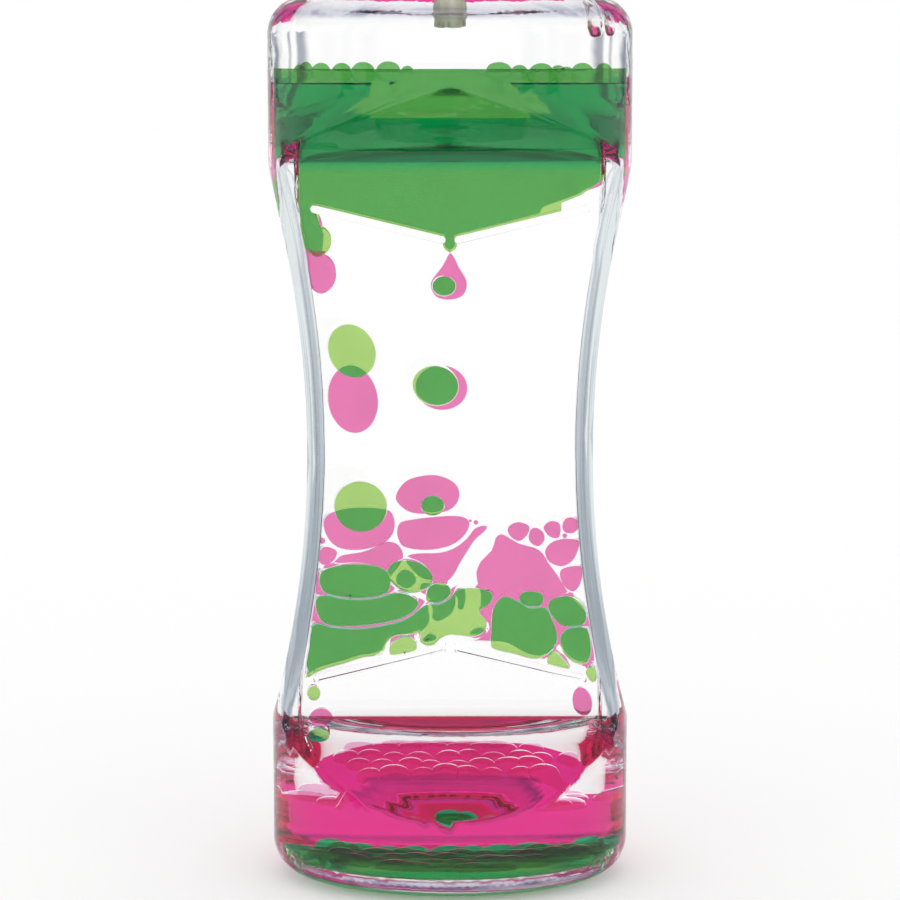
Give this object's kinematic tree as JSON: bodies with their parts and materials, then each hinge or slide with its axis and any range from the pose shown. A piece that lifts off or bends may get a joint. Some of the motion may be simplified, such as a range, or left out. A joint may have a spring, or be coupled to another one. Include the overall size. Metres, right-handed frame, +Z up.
{
  "type": "liquid motion timer",
  "caption": "Clear hourglass-shaped sealed block with two back-to-back cells, in which coloured liquid drips through sloping ramps and clear oil when it is turned over.",
  "frame": {"origin": "middle of the foot that the timer stands on", "axes": "+Z up along the height, +X along the width, -Y towards the front cell with green liquid"},
  "size_m": [0.061, 0.044, 0.15],
  "materials": {
    "clear_plastic": "polished clear moulding",
    "clear_insert": "clear moulding",
    "plug_plastic": "semi-matt natural plastic",
    "clear_oil": "clear liquid",
    "green_liquid": "dyed liquid",
    "pink_liquid": "dyed liquid",
    "air": "air bubble"
  },
  "bodies": {
    "casing": {"front_shell": "clear_plastic", "rear_shell": "clear_plastic", "divider_plate": "clear_insert", "front_fill_plug": "plug_plastic", "rear_fill_plug": "plug_plastic", "front_upper_ramps": "clear_insert", "front_lower_ramps": "clear_insert", "rear_upper_ramps": "clear_insert", "rear_lower_ramps": "clear_insert", "front_oil": "clear_oil", "rear_oil": "clear_oil", "green_upper_pool": "green_liquid", "pink_upper_pool": "pink_liquid", "green_lower_pool": "green_liquid", "pink_lower_pool": "pink_liquid", "green_roof_heap": "green_liquid", "pink_roof_heap": "pink_liquid", "trapped_air_bubbles": "air"},
    "green_centre_drop_1": {"green_centre_drop_1": "green_liquid"},
    "green_centre_drop_2": {"green_centre_drop_2": "green_liquid"},
    "green_centre_drop_3": {"green_centre_drop_3": "green_liquid"},
    "green_left_drop_1": {"green_left_drop_1": "green_liquid"},
    "green_left_drop_2": {"green_left_drop_2": "green_liquid"},
    "green_spill_drop": {"green_spill_drop": "green_liquid"},
    "green_sinking_drop": {"green_sinking_drop": "green_liquid"},
    "pink_centre_drop_1": {"pink_centre_drop_1": "pink_liquid"},
    "pink_centre_drop_2": {"pink_centre_drop_2": "pink_liquid"},
    "pink_left_drop": {"pink_left_drop": "pink_liquid"},
    "pink_roof_drop": {"pink_roof_drop": "pink_liquid"},
    "pink_sinking_drop": {"pink_sinking_drop": "pink_liquid"}
  },
  "joints": [
    {"name": "green_centre_fall_1", "type": "slide", "parent": "casing", "child": "green_centre_drop_1", "axis": [0, 0, -1], "range_m": [-0.0035, 0.0145], "deforming": ["front_oil"]},
    {"name": "green_centre_fall_2", "type": "slide", "parent": "casing", "child": "green_centre_drop_2", "axis": [0, 0, -1], "range_m": [-0.0035, 0.0145], "deforming": ["front_oil"]},
    {"name": "green_centre_fall_3", "type": "slide", "parent": "casing", "child": "green_centre_drop_3", "axis": [0, 0, -1], "range_m": [0, 0.007], "deforming": ["front_oil"]},
    {"name": "green_left_fall_1", "type": "slide", "parent": "casing", "child": "green_left_drop_1", "axis": [0, 0, -1], "range_m": [-0.01, 0.016], "deforming": ["front_oil"]},
    {"name": "green_left_fall_2", "type": "slide", "parent": "casing", "child": "green_left_drop_2", "axis": [0, 0, -1], "range_m": [0, 0.005], "deforming": ["front_oil"]},
    {"name": "green_spill_fall", "type": "slide", "parent": "casing", "child": "green_spill_drop", "axis": [0, 0, -1], "range_m": [0, 0.0046], "deforming": ["front_oil"]},
    {"name": "green_sinking_fall", "type": "slide", "parent": "casing", "child": "green_sinking_drop", "axis": [0, 0, -1], "range_m": [0, 0.0149], "deforming": ["front_oil"]},
    {"name": "pink_centre_fall_1", "type": "slide", "parent": "casing", "child": "pink_centre_drop_1", "axis": [0, 0, -1], "range_m": [0, 0.0103], "deforming": ["rear_oil"]},
    {"name": "pink_centre_fall_2", "type": "slide", "parent": "casing", "child": "pink_centre_drop_2", "axis": [0, 0, -1], "range_m": [0, 0.0103], "deforming": ["rear_oil"]},
    {"name": "pink_left_fall", "type": "slide", "parent": "casing", "child": "pink_left_drop", "axis": [0, 0, -1], "range_m": [-0.011, 0.012], "deforming": ["rear_oil"]},
    {"name": "pink_roof_fall", "type": "slide", "parent": "casing", "child": "pink_roof_drop", "axis": [0, 0, -1], "range_m": [0, 0.0157], "deforming": ["rear_oil"]},
    {"name": "pink_sinking_fall", "type": "slide", "parent": "casing", "child": "pink_sinking_drop", "axis": [0, 0, -1], "range_m": [0, 0.0127], "deforming": ["rear_oil"]}
  ],
  "couplings": [
    {"joint": "green_centre_fall_2", "follows": "green_centre_fall_1", "ratio": 1},
    {"joint": "pink_centre_fall_2", "follows": "pink_centre_fall_1", "ratio": 1}
  ]
}
